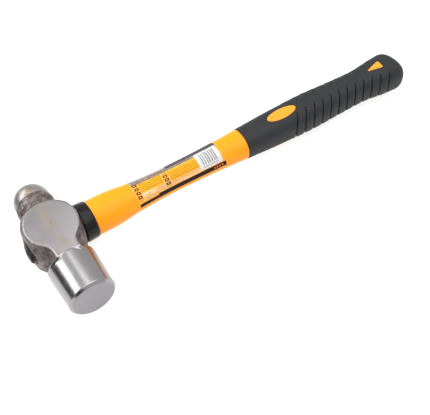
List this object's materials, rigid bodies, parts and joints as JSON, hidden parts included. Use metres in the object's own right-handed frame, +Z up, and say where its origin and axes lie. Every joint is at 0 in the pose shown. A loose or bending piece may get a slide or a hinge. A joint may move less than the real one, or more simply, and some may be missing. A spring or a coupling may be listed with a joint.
{
  "type": "ball peen hammer",
  "caption": "Ball peen hammer: forged steel head with a flat striking face and a ball peen, bonded to a fibreglass-cored handle with a moulded sheath and a ribbed soft grip.",
  "frame": {"origin": "bottom centre of the bounding box: the hammer lies on its side, on the poll's lowest line, at z = 0", "axes": "+X along the handle towards the butt, +Y along the head towards the ball peen, +Z up out of the upper cheek"},
  "size_m": [0.384, 0.1262, 0.0418],
  "materials": {
    "head_steel": "ground and satin-polished faces, rough as-forged recesses",
    "resin": "cast black epoxy, slightly uneven",
    "fibreglass": "pultruded glass-fibre rod",
    "collar_rubber": "smooth moulded black ring",
    "sheath_plastic": "smooth moulded yellow-orange plastic",
    "grip_rubber": "fine matt-textured soft grip",
    "printed_film": null,
    "sticker_paper": "white coated paper with printed bars"
  },
  "bodies": {
    "root": {"hammer_head": "head_steel", "eye_resin": "resin", "handle_core": "fibreglass", "neck_collar": "collar_rubber", "handle_sheath": "sheath_plastic", "grip": "grip_rubber", "oval_inlay_upper": "sheath_plastic", "oval_inlay_lower": "sheath_plastic", "butt_inlay_upper": "sheath_plastic", "butt_inlay_lower": "sheath_plastic", "handle_label": "printed_film", "barcode_label": "sticker_paper"}
  },
  "joints": []
}
